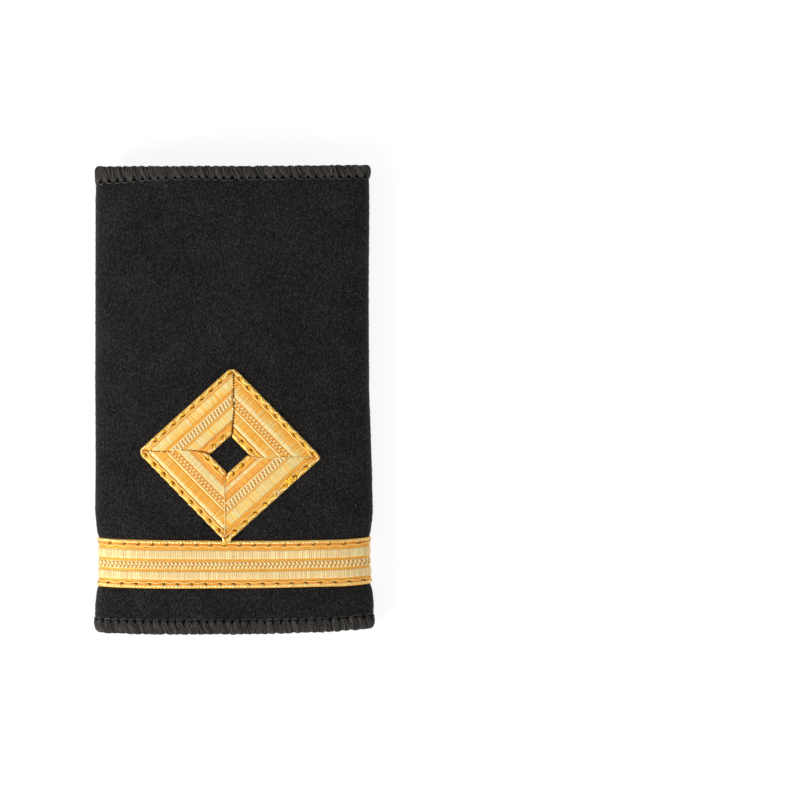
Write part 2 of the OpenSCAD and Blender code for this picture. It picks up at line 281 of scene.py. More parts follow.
def tube(path, radius, sides=6, flat=1.0):
    """Rings round paths [tube, place, (u, v, h)] in a flat frame, with h up. flat squashes them in
    height."""
    path = np.asarray(path, float)
    t = np.gradient(path, axis=1)
    t /= np.linalg.norm(t, axis=-1, keepdims=True)
    b = np.cross(t, [0.0, 0.0, 1.0])
    b /= np.maximum(np.linalg.norm(b, axis=-1, keepdims=True), 1e-6)
    n = np.cross(b, t)
    r = np.broadcast_to(radius, path.shape[:2])[..., None, None]
    q = 2 * np.pi * np.arange(sides) / sides
    c, s = np.cos(q)[:, None], np.sin(q)[:, None] * flat
    return path[:, :, None] + r * (c * b[:, :, None] + s * n[:, :, None])


def ends(m, small):
    """Shares of a radius along m places, small at both ends."""
    k = np.ones(m)
    k[0] = k[-1] = small
    return k


# ---- Materials: every colour varies by a pattern fixed to the object ----

def set_inputs(node, values):
    for key, value in values.items():
        node.inputs[key.replace("_", " ")].default_value = value
    return node


class Tree:
    def __init__(self, name, **sockets):
        self.material = bpy.data.materials.new(name)
        self.material.use_nodes = True
        self.tree = self.material.node_tree
        self.shader = set_inputs(self.tree.nodes["Principled BSDF"], sockets)
        place = self.node("TexCoord")
        scale = self.node("Mapping", Scale=(1000, 1000, 1000))
        self.link(place.outputs["Object"], scale.inputs["Vector"])
        self.mm = scale.outputs["Vector"]

    def node(self, kind, **inputs):
        return set_inputs(self.tree.nodes.new("ShaderNode" + kind), inputs)

    def link(self, a, b):
        self.tree.links.new(a, b)

    def noise(self, scale, detail=2.0, rough=0.5, distortion=0.0, place=None):
        """place is a shift, a turn and the size of the pattern's cell along each turned axis."""
        n = self.node("TexNoise", Scale=scale, Detail=detail, Roughness=rough, Distortion=distortion)
        where = self.mm
        if place:
            shift, turn, cell = place
            m = self.node("Mapping", Location=shift, Rotation=(0, 0, turn), Scale=cell)
            m.vector_type = "TEXTURE"
            self.link(self.mm, m.inputs["Vector"])
            where = m.outputs["Vector"]
        self.link(where, n.inputs["Vector"])
        return n.outputs["Fac"]

    def math(self, kind, *values):
        m = self.node("Math")
        m.operation = kind
        for i, value in enumerate(values):
            if isinstance(value, (int, float)):
                m.inputs[i].default_value = value
            else:
                self.link(value, m.inputs[i])
        return m.outputs[0]

    def ramp(self, value, *stops):
        r = self.node("ValToRGB")
        while len(r.color_ramp.elements) < len(stops):
            r.color_ramp.elements.new(0.5)
        for e, (at, colour) in zip(r.color_ramp.elements, stops):
            e.position, e.color = at, (*colour, 1)
        self.link(value, r.inputs["Fac"])
        return r.outputs["Color"]

    def bump(self, height, distance, strength):
        b = self.node("Bump", Distance=distance / 1000, Strength=strength)
        self.link(height, b.inputs["Height"])
        self.link(b.outputs["Normal"], self.shader.inputs["Normal"])

    def colour(self, socket):
        self.link(socket, self.shader.inputs["Base Color"])

    def rough(self, value, low, high):
        m = self.node("MapRange", To_Min=low, To_Max=high)
        self.link(value, m.inputs["Value"])
        self.link(m.outputs["Result"], self.shader.inputs["Roughness"])


def wool(name, dark, middling, light):
    """Napped wool: short strokes of fibre, mostly along the board, over a fine grain."""
    t = Tree(name, Roughness=0.95, Specular_IOR_Level=0.1, Sheen_Weight=0.08, Sheen_Roughness=0.5)
    left = t.noise(1.0, 2.0, 0.6, 0.5, ((0, 0, 0), 0.40, (0.19, 0.52, 0.4)))
    right = t.noise(1.0, 2.0, 0.6, 0.5, ((31, 7, 3), -0.34, (0.18, 0.48, 0.4)))
    grain = t.noise(5.0, 2.0, 0.7)
    broad = t.noise(0.12, 2.0)
    strokes = t.math("MULTIPLY", t.math("ADD", left, right), 0.42)
    total = t.math("ADD", strokes, t.math("MULTIPLY_ADD", grain, 0.34, -0.09))
    total = t.math("ADD", total, t.math("MULTIPLY_ADD", broad, 0.10, -0.05))
    t.colour(t.ramp(total, (0.37, dark), (0.50, middling), (0.64, light)))
    t.bump(t.math("ADD", grain, strokes), 0.10, 0.7)
    return t.material


def thread(name, dark, light, shine, grain=5.0, **sockets):
    """Spun or twisted thread: colour mottled from strand to strand."""
    t = Tree(name, **sockets)
    strand = t.noise(grain, 2.0, 0.6)
    patch = t.noise(0.7, 2.0, 0.5)
    total = t.math("ADD", t.math("MULTIPLY", strand, 0.6), t.math("MULTIPLY", patch, 0.4))
    t.colour(t.ramp(total, (0.3, dark), (0.7, light)))
    t.rough(strand, shine - 0.08, shine + 0.08)
    t.bump(strand, 0.03, 0.4)
    return t.material


def yarn(name, dark, light, shine=0.7, grain=3.0, gloss=0.25):
    return thread(name, dark, light, shine, grain, Specular_IOR_Level=gloss)


WOOL = wool("black_wool", (0.0010, 0.0010, 0.0010), (0.0068, 0.0062, 0.0060), (0.0425, 0.0385, 0.0372))
FUZZ = yarn("wool_fibre", (0.03, 0.027, 0.025), (0.11, 0.098, 0.09), 0.75, 5.0)
# The last but one yarn is painted shade: near-black, laid in the hollows and gaps between bundles.
YARNS = [yarn("overlock_yarn", (0.023, 0.0206, 0.0187), (0.056, 0.0505, 0.045)),
         yarn("overlock_yarn_light", (0.045, 0.0405, 0.0365), (0.098, 0.088, 0.079)),
         yarn("overlock_yarn_dark", (0.008, 0.0072, 0.0068), (0.023, 0.0206, 0.0187), 0.8, gloss=0.2),
         yarn("overlock_painted_shade", (0.0012, 0.0012, 0.0012), (0.0035, 0.0033, 0.0032), 0.9, 5.0, 0.05),
         yarn("needle_thread", (0.036, 0.036, 0.033), (0.115, 0.113, 0.106), 0.5, 4.0, 0.4)]
YARN, YARN_LIGHT, YARN_DARK, YARN_PAINTED_SHADE, NEEDLE = range(5)
SEAM = yarn("seam_thread", (0.008, 0.008, 0.008), (0.032, 0.031, 0.030), 0.55, 5.0, 0.35)


def gold(name, dark, light, shine, metal=0.35, grain=2.2):
    return thread(name, dark, light, shine, grain, Metallic=metal, Specular_IOR_Level=0.45)


# Tones of ribbed wire, the stripe's own first and then from cream to peach, then the ground and the rest.
# Amber is peach darkened as painted shade and ivory is cream lightened as painted highlight; the
# painted-shade tone and the dark brown of holes and folds are painted shade too.
GOLDS = [gold("gold_wire_blond", (0.77, 0.536, 0.229), (0.85, 0.645, 0.322), 0.46),
         gold("gold_wire_cream", (0.82, 0.63, 0.28), (0.90, 0.76, 0.40), 0.46),
         gold("gold_wire_wheat", (0.81, 0.57, 0.195), (0.88, 0.69, 0.28), 0.46),
         gold("gold_wire_sand", (0.93, 0.565, 0.14), (0.99, 0.68, 0.21), 0.46),
         gold("gold_wire_peach", (0.98, 0.48, 0.065), (1.0, 0.60, 0.12), 0.46),
         gold("gold_ground", (0.94, 0.43, 0.04), (0.98, 0.54, 0.085), 0.42),
         # Amber is peach darkened as painted shade.
         gold("gold_wire_amber_shade", (0.84, 0.37, 0.055), (0.90, 0.435, 0.083), 0.46),
         gold("gold_painted_shade", (0.72, 0.25, 0.02), (0.93, 0.38, 0.045), 0.6, 0.2),
         gold("gold_cord", (0.92, 0.58, 0.13), (0.99, 0.82, 0.40), 0.28, 0.55),
         gold("gold_stitch", (0.95, 0.48, 0.022), (0.99, 0.63, 0.055), 0.34, 0.6),
         # Dark brown for stitch holes and the darkest mitre folds: the holes are real, their darkness
         # painted shade.
         thread("hole_and_fold_shade", (0.11, 0.032, 0.002), (0.27, 0.09, 0.006), 0.9, Specular_IOR_Level=0.1),
         # Ivory is cream lightened as painted highlight.
         gold("gold_wire_ivory_highlight", (0.91, 0.69, 0.31), (0.98, 0.82, 0.44), 0.46)]
BLOND, PALE, WHEAT, SAND, PEACH, GROUND, AMBER_SHADE, GOLD_PAINTED_SHADE, SHINY, STITCH, HOLE_AND_FOLD_SHADE, IVORY_HIGHLIGHT = range(12)


# ---- The sleeve ----

# Seams on the back, through the lap: (y, x) of their threads, from the lower end up
SEAM_LAP = np.array([[-47, 12.8], [-44, 12.7], [-20, 12.1], [0, 12.0], [22, 12.4], [44, 13.3], [47, 13.4]])
SEAM_UNDER = np.array([[-47, -7.4], [-20, -7.7], [10, -8.4], [47, -9.1]])


def back_arc(x):
    """Length round the cloth to a place on the lap."""
    xs = np.asarray(x, float)
    return np.interp(xs, middle(ARC_A[ARC_A > 185], 0.0)[:, 0], ARC_S[ARC_A > 185])


# Columns and rows of the sleeve, and half its thickness at distances from its two cut ends
SLEEVE_COLUMNS, SLEEVE_ROWS = 238, 112
END_ROUND = ((0.0, 0.30), (0.25, 0.52), (0.6, CLOTH_T / 2))
# Depth and half breadth of the groove that a seam pulls into the cloth
SEAM_DEPTH, SEAM_SPREAD = 0.16, 0.55


def sleeve():
    straight = np.linspace(S_UNDER, S_FLAP - CORNER_R, SLEEVE_COLUMNS)
    corner = S_FLAP - CORNER_R * (1 - np.sin(np.radians(np.linspace(8, 90, 9))))
    s = np.concatenate([straight, corner])
    a = angle_at(s)
    low, high = mouth_y(a, -1), mouth_y(a, 1)
    (_, end_h), (near, near_h), (far, far_h) = END_ROUND
    v = np.concatenate([[0.0, near / CLOTH_L], np.linspace(far / CLOTH_L, 1 - far / CLOTH_L, SLEEVE_ROWS),
                        [1 - near / CLOTH_L, 1.0]])
    h = np.full(len(v), far_h)
    h[[0, -1]], h[[1, -2]] = end_h, near_h
    y = low[:, None] + (high - low)[:, None] * v
    outer_h = np.broadcast_to(h, y.shape).copy()
    for seam in (SEAM_LAP, SEAM_UNDER):
        away = s[:, None] - back_arc(np.interp(y, seam[:, 0], seam[:, 1]))
        outer_h -= SEAM_DEPTH * np.exp(-(away / SEAM_SPREAD) ** 2)
    outer = over(a[:, None], y, outer_h)
    inner = over(a[:, None], y, -np.broadcast_to(h, y.shape))
    shape = Shape()
    shape.slab(np.concatenate([outer, inner[:, ::-1]], axis=1))
    return shape.build("wool_sleeve", [WOOL], "wool_cloth")


board = sleeve()
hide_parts("cloth_sleeve")


# ---- Overlocked rims ----

# Height of a rim's middle, where it turns round the cut edge, how much narrower its yarn is, and the
# least width of a mouth's rim
RIM_H = CLOTH_T / 2 + GAP + OVERLOCK_T / 2
RIM_TURN = GAP + OVERLOCK_T / 2 - RIM_H
RIM_SHORT, RIM_LEAST = 0.1, 1.3

# How much farther the upper rim reaches down the cloth at each wrap angle
REACH = np.array([[-130, -0.10], [0, -0.20], [58, -0.14], [84, -0.15], [90, -0.03], [99, -0.25],
                  [119, 0.00], [131, 0.20], [142, 0.45], [175, 0.60], [200, 0.30], [230, 0.00]])


def round_edge(width, tau, r):
    """Place round a cut edge, tau 0 to 1 on the outer face, to 2 round the edge and to 3 on the inner
    face: (distance out from the edge, height over the cloth's middle)."""
    run = width - RIM_SHORT + RIM_TURN
    turn = np.pi * np.clip(tau - 1, 0, 1)
    d = (RIM_TURN - run * np.maximum(1 - tau, 0) - run * np.maximum(tau - 2, 0)
         + (RIM_H + r) * np.sin(turn))
    return d, (RIM_H + r) * np.cos(turn)


def mouth_place(side):
    """Places round a mouth: s is the length round the cloth, r the height over the rim's middle."""
    def place(s, tau, r):
        a = angle_at(s)
        extra = np.interp(a, REACH[:, 0], REACH[:, 1]) if side > 0 else 0
        d, h = round_edge(np.maximum(OVERLOCK_W + extra - corner_cut(a), RIM_LEAST), tau, r)
        return over(a, mouth_y(a, side) + side * d, h)
    return place


def flap_place(y, tau, r):
    """The same round the lap's free edge; y takes the place of the length round the mouth."""
    d, h = round_edge(FLAP_OVERLOCK_W, tau, r)
    m = over(FLAP_ANGLE, y, 0.0)
    n = over(FLAP_ANGLE, y, 1.0) - m
    t = np.stack([-n[..., 2], np.zeros_like(n[..., 0]), n[..., 0]], -1)
    return m + d[..., None] * t + h[..., None] * n


# Where a strand has its rings. Then, as shares of a stitch, a bundle's breadth at its feet and what it
# gains away from them. Then the height of its middle, and half the height of a strand.
TAU = np.array([0.0, 0.10, 0.24, 0.46, 0.72, 0.95, 1.15, 1.35, 1.6, 1.85, 2.1, 2.5, 2.86, 3.0])
BUNDLE_FOOT, BUNDLE_GAIN, BUNDLE_DOME, STRAND_H = 0.60, 0.38, 0.21, 0.09


def foot(tau):
    """How far a rim lies down on the cloth beside its needle line, 1 at the line and 0 away from it."""
    return 1 - smooth(np.minimum(tau, 3 - tau) / 0.40)


def needle_line(shape, place, feet, span, pitch, lean, line, way):
    """Painted shade: near-black yarn in the hollow between each two bundles' feet and in gaps reaching up
    between the bundles, and an arc of needle thread beside it, on the outer face (way 1) or the inner one
    (-1)."""
    run = OVERLOCK_W - RIM_SHORT + RIM_TURN
    around = 2 * np.pi * np.arange(6) / 6
    t = np.linspace(-1, 1, 7)
    bulge = np.sqrt(1 - (0.93 * t) ** 2)[:, None]
    gaps = 0.5 * (feet[1:] + feet[:-1])
    # The first three rows are painted shade, near-black yarn in the hollows and gaps between bundles; the
    # last is the needle thread.
    # Middles, half length, half width, half height, material, distance in from the needle line, bulge
    # away from the edge, slope, and height over the rim's middle
    for centre, length, wide, high, slot, inward, arc, slope, rise in (
            (gaps, 0.30, 0.26, 0.03, YARN_PAINTED_SHADE, 0.24, 0.0, 0.12, -0.09),
            (gaps - 0.12 * lean, 0.12, 0.78, 0.03, YARN_PAINTED_SHADE, 0.80, 0.0, -0.3 * lean, -0.03),
            (gaps + 0.34, 0.20, 0.12, 0.03, YARN_PAINTED_SHADE, 0.10, 0.0, 0.0, -0.18),
            (feet + line * pitch, 0.50 * pitch, 0.075, 0.08, NEEDLE, 0.08, 0.34, 0.16, -0.20)):
        n = len(centre)
        size = rng.uniform(0.6, 1.15, (n, 1, 1))
        s = centre[:, None] + rng.uniform(-0.07, 0.07, (n, 1)) + length * t * np.sqrt(size[..., 0])
        d = (inward - arc * (1 - t ** 2) * rng.uniform(0.6, 1.1, (n, 1))
             + slope * t * rng.uniform(0.4, 1.4, (n, 1)) + rng.uniform(-0.05, 0.05, (n, 1)))
        tau = (run - OVERLOCK_W - RIM_TURN + d) / run
        r = rise + 0.05 * (1 - t ** 2)
        s = np.clip(s, *span)
        tau = tau[..., None] + wide * size * bulge * np.cos(around) / run
        shape.tubes(place(s[..., None], tau if way > 0 else 3 - tau,
                          r[:, None] + high * bulge * np.sin(around)), slot)


def overlock(name, place, first, last, pitch, strands, lean, node, line):
    """Yarn wound round an edge in bundles of strands, one to a stitch, gathered at the needle line. lean
    is how far a bundle leans along the edge. line is how far the arcs of needle thread lie from the
    bundles' feet, as a share of a stitch, or None where the line is left out."""
    shape = Shape()
    # A dark bed under the yarn
    along = np.linspace(first, last, int((last - first) / 0.8))
    # A bed of dark yarn under the yarn; where it shows between the bundles its darkness is partly painted
    # shade
    tau = np.linspace(0.02, 2.98, 17)
    shape.grid(place(along[:, None], tau, -0.13 - 0.09 * foot(tau)), YARN_DARK)
    count = int(round((last - first) / pitch))
    base = (np.linspace(first + pitch / 2, last - pitch / 2, count)
            + rng.uniform(-0.10, 0.10, count) * pitch)
    share = (np.arange(strands) + 0.5) / strands - 0.5
    out = np.minimum(smooth(TAU / 0.55), smooth((3 - TAU) / 0.55))
    width = pitch * (BUNDLE_FOOT + BUNDLE_GAIN * out) * (1 + rng.uniform(-0.08, 0.08, (count, 1, 1)))
    lean_i = lean + rng.uniform(-0.24, 0.24, count)
    swell = rng.uniform(0.6, 1.15, count)
    way_round = TAU / 1.5 - 0.5
    s = (base[:, None, None] + lean_i[:, None, None] * way_round
         + (share[:, None] + rng.uniform(-0.05, 0.05, (count, strands, 1))) * width
         + rng.uniform(-0.14, 0.14, (count, strands, 1)) * way_round)
    dome = (1 - (2 * share[:, None]) ** 2) * (0.2 + 0.8 * out)
    r = (BUNDLE_DOME * swell[:, None, None] * dome - 0.12 - 0.10 * foot(TAU)
         + rng.uniform(-0.03, 0.02, (count, strands, 1)))
    s += 0.09 * np.sin(TAU * 5 + rng.uniform(0, 6, (count, strands, 1))) * out
    s = np.clip(s, first, last).reshape(-1, len(TAU))
    r = r.reshape(-1, len(TAU))
    half = 0.5 * pitch / strands * 1.15 * rng.uniform(0.8, 1.2, (count * strands, 1, 1))
    around = 2 * np.pi * np.arange(5) / 5
    taper = ends(len(TAU), 0.5)[:, None]
    rings = place(s[..., None] + half * taper * np.cos(around), TAU[:, None],
                  r[..., None] + STRAND_H * taper * np.sin(around))
    shape.tubes(rings, rng.choice([YARN, YARN_LIGHT, YARN_DARK], count * strands, p=[0.60, 0.28, 0.12]))
    if line is not None:
        for way in (1, -1):
            needle_line(shape, place, base - 0.5 * lean_i * way, (first, last), pitch, lean, line, way)
    obj = shape.build(name, YARNS, "overlock_thread")
    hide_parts(node)
    return obj


MOUTH_FROM, MOUTH_TO = S_UNDER + 0.1, S_FLAP - 0.15

rims = [
    overlock("overlock_top", mouth_place(1), MOUTH_FROM, MOUTH_TO, 1.70, 10, 1.0, "top_overlock", -0.42),
    overlock("overlock_bottom", mouth_place(-1), MOUTH_FROM, MOUTH_TO, 1.63, 10, -1.0, "bottom_overlock",
             0.0),
    overlock("overlock_lap", flap_place, -44.9, 44.95, 0.98, 5, 0.5, "flap_overlock", None)]


# ---- Gold lace ----

# Pitch and rings of the ribs' wires, how far the inner cord bows at each hole, a satin stitch's radius,
# and how far across the lace its cross threads go
RIB_PITCH = 0.365
RIB_RINGS = np.array([0, 0.05, 0.12, 0.18, 0.82, 0.88, 0.95, 1.0])
INNER_BOW, SATIN_R, CROSS_V = 0.10, 0.235, 4.8

# Radii along a short thread, as shares
LENTIL = np.array([0.4, 0.9, 1.0, 0.9, 0.4])


def wave_at(u, first, pitch):
    return np.cos(2 * np.pi * (u - first) / pitch)


class Lace:
    """Woven lace in its own flat frame: u along it, v from -5 to 5 across it, h up. span tells where it
    begins and ends at a place across it. rows gives, for the edge v = -5 and then for v = 5: the places
    of its cord, its stitch holes and its inner cord; its ribbed band, from outside in, as strips of
    (outer side, inner side, tone); and the place of a stitch hole with the pitch of the rest. twist is
    the cord's height, the radius of its strands, their distance from its middle and the length of a
    turn. crisp tells the diamond's lace, with clearer cords, stitches and ribs, from the stripe's.
    weave and relief are told at herringbone. mirror is set where v runs the other way round."""

    def __init__(self, place, span, rows, middle, twist, crisp, relief, weave, mirror):
        self.place, self.span, self.mirror, self.crisp = place, span, mirror, crisp
        self.shape = Shape()
        self.ground(*span(0.0))
        scallop = 0.17 if crisp else 0.07
        for edge, (cord, hole, inner, bands, first, pitch) in zip((-1, 1), rows):
            out = lambda u: scallop * edge * wave_at(u, first, pitch)
            bow = lambda u: -INNER_BOW * edge * wave_at(u, first, pitch)
            # On the diamond's inner edges the inner cord is peach and the fill amber, darker than
            # elsewhere: painted shade.
            inner_slot, fill_slot = (PEACH, AMBER_SHADE) if crisp and edge > 0 else (SAND, GROUND)
            self.cord(edge * cord, *twist, SHINY, out)
            self.along(edge * (cord + hole) / 2, 0.15, 0.11, GROUND)
            self.stitches(edge, cord, hole, first, pitch)
            self.along(edge * inner, 0.23, 0.165, inner_slot, bow)
            # A dark orange line inside the inner cord: painted shade.
            self.along(edge * (inner - 0.23), 0.15, 0.10, GOLD_PAINTED_SHADE, bow)
            self.fill(edge * (inner - 0.26), edge * (bands[0][0] + 0.04), fill_slot)
            self.fill(edge * (bands[-1][1] - 0.04), middle + edge * 0.76, GROUND)
            self.ribs(edge, bands)
        self.herringbone(middle, weave, relief)

    def limits(self, vs):
        """Where the lace begins and where it ends at each place across it."""
        return np.array([self.span(v) for v in vs]).T

    def lay(self, paths, radius, slot, sides=6, flat=1.0):
        self.shape.tubes(self.place(tube(paths, radius, sides, flat)), slot)

    def along(self, v, h, radius, slot, wave=None):
        """A thread the whole length at v, with an optional sideways wave."""
        lo, hi = self.span(v)
        n = max(6, int((hi - lo) / 0.5))
        u = np.linspace(lo + 0.05, hi - 0.05, n)
        self.lay(join(u, v + (wave(u) if wave else 0), h)[None], radius * ends(n, 0.5), slot, 5)

    def fill(self, v0, v1, slot):
        """Smooth threads side by side from v0 to v1."""
        n = max(1, int(round(abs(v1 - v0) / 0.18)))
        step = (v1 - v0) / n
        for k in range(n):
            self.along(v0 + (k + 0.5) * step, 0.16, max(0.06, abs(step) * 0.58), slot)

    def cord(self, v, h, strand, turn, pitch, slot, wave):
        """A two-ply twisted cord."""
        lo, hi = self.span(v)
        n = max(8, int((hi - lo) / pitch * 10))
        u = np.linspace(lo + 0.05, hi - 0.05, n)
        for phase in (0, np.pi):
            q = 2 * np.pi * u / pitch + phase
            path = join(u, v + wave(u) + turn * np.cos(q), h + 0.8 * turn * np.sin(q))
            self.lay(path[None], strand * ends(n, 0.6), slot)

    def stitches(self, edge, cord, hole, first, pitch):
        """A running stitch in the groove beside the cord, dipping into holes, and at each hole two stitches
        out over the cord. The holes are dark brown and, on the stripe, the running stitch dark orange, as
        painted shade."""
        v = edge * hole
        lo, hi = self.span(v)
        k = np.arange(math.ceil((lo + 0.4 - first) / pitch), math.floor((hi - 0.3 - first) / pitch) + 1)
        u = first + k * pitch + rng.uniform(-0.10, 0.10, len(k))
        t = np.linspace(0, 1, 7)
        uu = u[:-1, None] + 0.26 + (u[1:] - u[:-1] - 0.50)[:, None] * t
        hh = 0.16 + (0.06 if self.crisp else 0.02) * np.sin(np.pi * t) ** 0.6
        # On the stripe the running stitch is dark orange: painted shade of its groove.
        self.lay(join(uu, v + edge * (0.08 - 0.14 * t), hh), 0.14 * ends(7, 0.6),
                 STITCH if self.crisp else GOLD_PAINTED_SHADE)
        # Dark brown holes: painted shade in the stitch holes.
        t = np.linspace(-1, 1, 5)
        self.lay(join(u[:, None] + 0.38 * t, v - edge * 0.10 * t, 0.25), 0.18 * LENTIL, HOLE_AND_FOLD_SHADE, 8, 0.35)
        over_h, over_r, slot = (0.40, 0.135, STITCH) if self.crisp else (0.30, 0.085, SHINY)
        t = np.linspace(0, 1, 7)
        vv = edge * (hole + 0.06 + (cord + 0.22 - hole) * t)
        hh = 0.14 + over_h * np.sin(np.pi * np.clip(0.10 + 0.88 * t, 0, 1))
        for shift in (0.10, 0.30):
            lean = rng.uniform(-0.1, 0.3, (len(k), 1))
            self.lay(join(u[:, None] + shift - lean * t, vv, hh), over_r * ends(7, 0.7), slot)

    def ribs(self, edge, bands):
        """Weft wires side by side across a band, no two of quite the same tone. In crisp lace they are
        narrower, so that the grooves between them show."""
        height, share = (0.235, 0.51) if self.crisp else (0.28, 0.66)
        outer, inner = edge * bands[0][0], edge * bands[-1][1]
        lo = min(self.span(outer)[0], self.span(inner)[0])
        hi = max(self.span(outer)[1], self.span(inner)[1])
        n = int((hi - lo) / RIB_PITCH)
        step = (hi - lo) / n
        u = lo + (np.arange(n) + 0.5) * step + rng.uniform(-0.03, 0.03, n)
        chance = rng.random(n)
        sunk = (rng.random(n) < 0.05) * rng.uniform(0.02, 0.05, n)
        top = 0.015 * np.sin(u * 2.1 + 1.0) + rng.uniform(-0.012, 0.012, n) - sunk
        phase = rng.uniform(0, 6, (n, 1))
        for side_a, side_b, tone in bands:
            vs = np.linspace(edge * side_a, edge * side_b, 30)
            low, high = self.limits(vs)
            inside = (u[:, None] > low + 0.06) & (u[:, None] < high - 0.06)
            keep = inside.sum(axis=1) > 2
            first = vs[np.argmax(inside[keep], axis=1)]
            last = vs[len(vs) - 1 - np.argmax(inside[keep][:, ::-1], axis=1)]
            vv = first[:, None] + (last - first)[:, None] * RIB_RINGS
            away = np.minimum(np.abs(vv - outer), np.abs(vv - inner))
            hh = height + top[keep][:, None] - 0.10 * smooth(1 - away / 0.16)
            uu = u[keep][:, None] + 0.02 * np.sin(vv * 2 + phase[keep])
            deeper, paler = min(tone + 1, AMBER_SHADE), max(tone - 1, BLOND)
            if tone == IVORY_HIGHLIGHT:
                deeper = paler = IVORY_HIGHLIGHT
            slots = np.where(chance < 0.22, deeper, np.where(chance > 0.85, paler, tone))
            # Crisp ribs sunk deepest take the ground's darker orange: painted shade for the dip.
            if self.crisp and tone != IVORY_HIGHLIGHT:
                slots = np.where(sunk > 0.03, GROUND, slots)
            self.lay(join(uu, vv, hh), step * share, slots[keep], 6, 0.62)

    def herringbone(self, middle, weave, relief):
        """Two rows of satin stitches between raised lines, with gaps between the stitches. weave gives
        their pitch, how far the row on the v = -5 side is shifted, how far a whole stitch slants in that
        row and in the other, the stitch's two ends as distances from the middle, and the place of one
        more line or None. relief is the stitches' height. Short ones are dots between deeper lines."""
        pitch, shift, slants, (root, tip), line = weave
        short = tip - root < 0.5
        for v in (-0.69, 0.0, 0.69):
            self.along(middle + v, 0.20 + relief / 2, 0.085, GROUND if short else PALE)
        if line is not None:
            self.along(line, 0.22, 0.17, PALE)
        for side, slant in zip((-1, 1), slants):
            near, far = middle + side * root, middle + side * tip
            lo = min(self.span(near)[0], self.span(far)[0]) - 0.3
            hi = max(self.span(near)[1], self.span(far)[1])
            n = int((hi - lo) / pitch)
            u = lo + (shift if side < 0 else 0) + np.arange(n) * pitch
            t = np.linspace(0, 1, 6)
            uu = u[:, None] + slant * (root + (tip - root) * t) / tip + rng.uniform(-0.03, 0.03, (n, 1))
            vv = near + (far - near) * t
            low, high = self.limits(vv)
            keep = (uu > low + 0.05).any(axis=1) & (uu < high - 0.05).any(axis=1)
            uu = np.clip(uu, low + 0.10, high - 0.10)[keep]
            hh = 0.22 + relief * np.sin(np.pi * t) + rng.uniform(-0.015, 0.015, (len(uu), 1))
            self.lay(join(uu, vv, hh), SATIN_R * np.array([0.7, 0.95, 1.0, 1.0, 0.95, 0.7]), PALE, 6, 0.6)
            # Painted shade in the gaps between the stitches: dark orange threads
            t = np.linspace(0.22, 0.80, 4)
            uu = u[keep][:-1, None] + pitch / 2 + slant * (root + (tip - root) * t) / tip
            vv = near + (far - near) * t
            end = np.interp(vv, np.sort([near, far]), np.sort(high[[0, -1]])) - 0.2
            path = join(uu, vv, 0.20)[(uu < end).all(axis=1)]
            self.lay(path, 0.20 * np.array([0.6, 1.0, 1.0, 0.6]), GOLD_PAINTED_SHADE, 6, 0.35)

    def ground(self, low, high):
        """The woven bed under everything else."""
        rows = np.linspace(0, 1, max(8, int((high - low) / 0.6)))
        vs = np.linspace(-4.88, 4.88, 17)
        lo, hi = self.limits(vs)
        lo, hi = lo + 0.02, hi - 0.02
        uu = lo + (hi - lo) * rows[:, None]
        hh = np.full(uu.shape, 0.14)
        hh[:, 0] = hh[:, -1] = hh[0] = hh[-1] = 0.08
        top, bottom = self.place(join(uu, vs, hh)), self.place(join(uu, vs, 0.01))
        self.shape.slab(np.concatenate([top, bottom[:, ::-1]], axis=1), GROUND, flip=self.mirror)

    def across(self, u, radius, slot, h):
        """A slightly wavy thread across the lace."""
        v = np.linspace(-CROSS_V, CROSS_V, 24)
        self.lay(join(u + 0.06 * np.sin(v * 2 * np.pi / 2.4), v, h)[None], radius * ends(24, 0.5), slot)


def run_y(a, v):
    """Place along the board of the stripe's thread v at a wrap angle."""
    shift, breadth = (np.interp(a, STRIPE_RUN[:, 0], STRIPE_RUN[:, c]) for c in (SHIFT, BREADTH))
    return STRIPE_WANDER * shift - STRIPE_Y + v / 10 * LACE_W * breadth


def stripe():
    start, stop = arc_at(STRIPE_FIRST), arc_at(STRIPE_LAST)

    def place(p):
        a = angle_at(p[..., 0])
        return over(a, run_y(a, p[..., 1]), CLOTH_T / 2 + GAP + p[..., 2])

    rows = [(4.44, 4.00, 3.70, [(3.06, 1.46, BLOND)], S_FRONT - 0.10, 2.93),
            (4.52, 3.98, 3.60, [(2.86, 1.14, BLOND)], S_FRONT - 1.33, 3.05)]
    lace = Lace(place, lambda v: (start + 0.1, stop - 1.75), rows, -0.17, (0.15, 0.17, 0.13, 1.5), False,
                0.09, (0.843, 0.27, (0.38, 0.38), (0.0, 0.66), None), False)
    # The end behind the left fold is turned under and bound with stitches. For each thread across it:
    # distance from the end, radius, tone and height. The first, dark orange, is painted shade in the groove
    # before the binding.
    for back, radius, slot, h in ((1.72, 0.13, GOLD_PAINTED_SHADE, 0.14), (1.42, 0.17, PALE, 0.26),
                                  (1.10, 0.17, SHINY, 0.22), (0.78, 0.17, PALE, 0.26),
                                  (0.46, 0.17, PALE, 0.22), (0.17, 0.16, SHINY, 0.18)):
        lace.across(stop - back, radius, slot, h)
    # Dark brown holes in that groove: painted shade.
    v = np.array([-3.9, -1.3, 1.3, 3.9])[:, None]
    t = np.linspace(-1, 1, 5)
    lace.lay(join(stop - 1.72 + 0.22 * t, v + 0.1 * t, 0.24), 0.20 * LENTIL, HOLE_AND_FOLD_SHADE, 8, 0.35)
    return lace.shape.build("lace_stripe", GOLDS, "gold_lace")


gold_stripe = stripe()
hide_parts("rank_stripe")


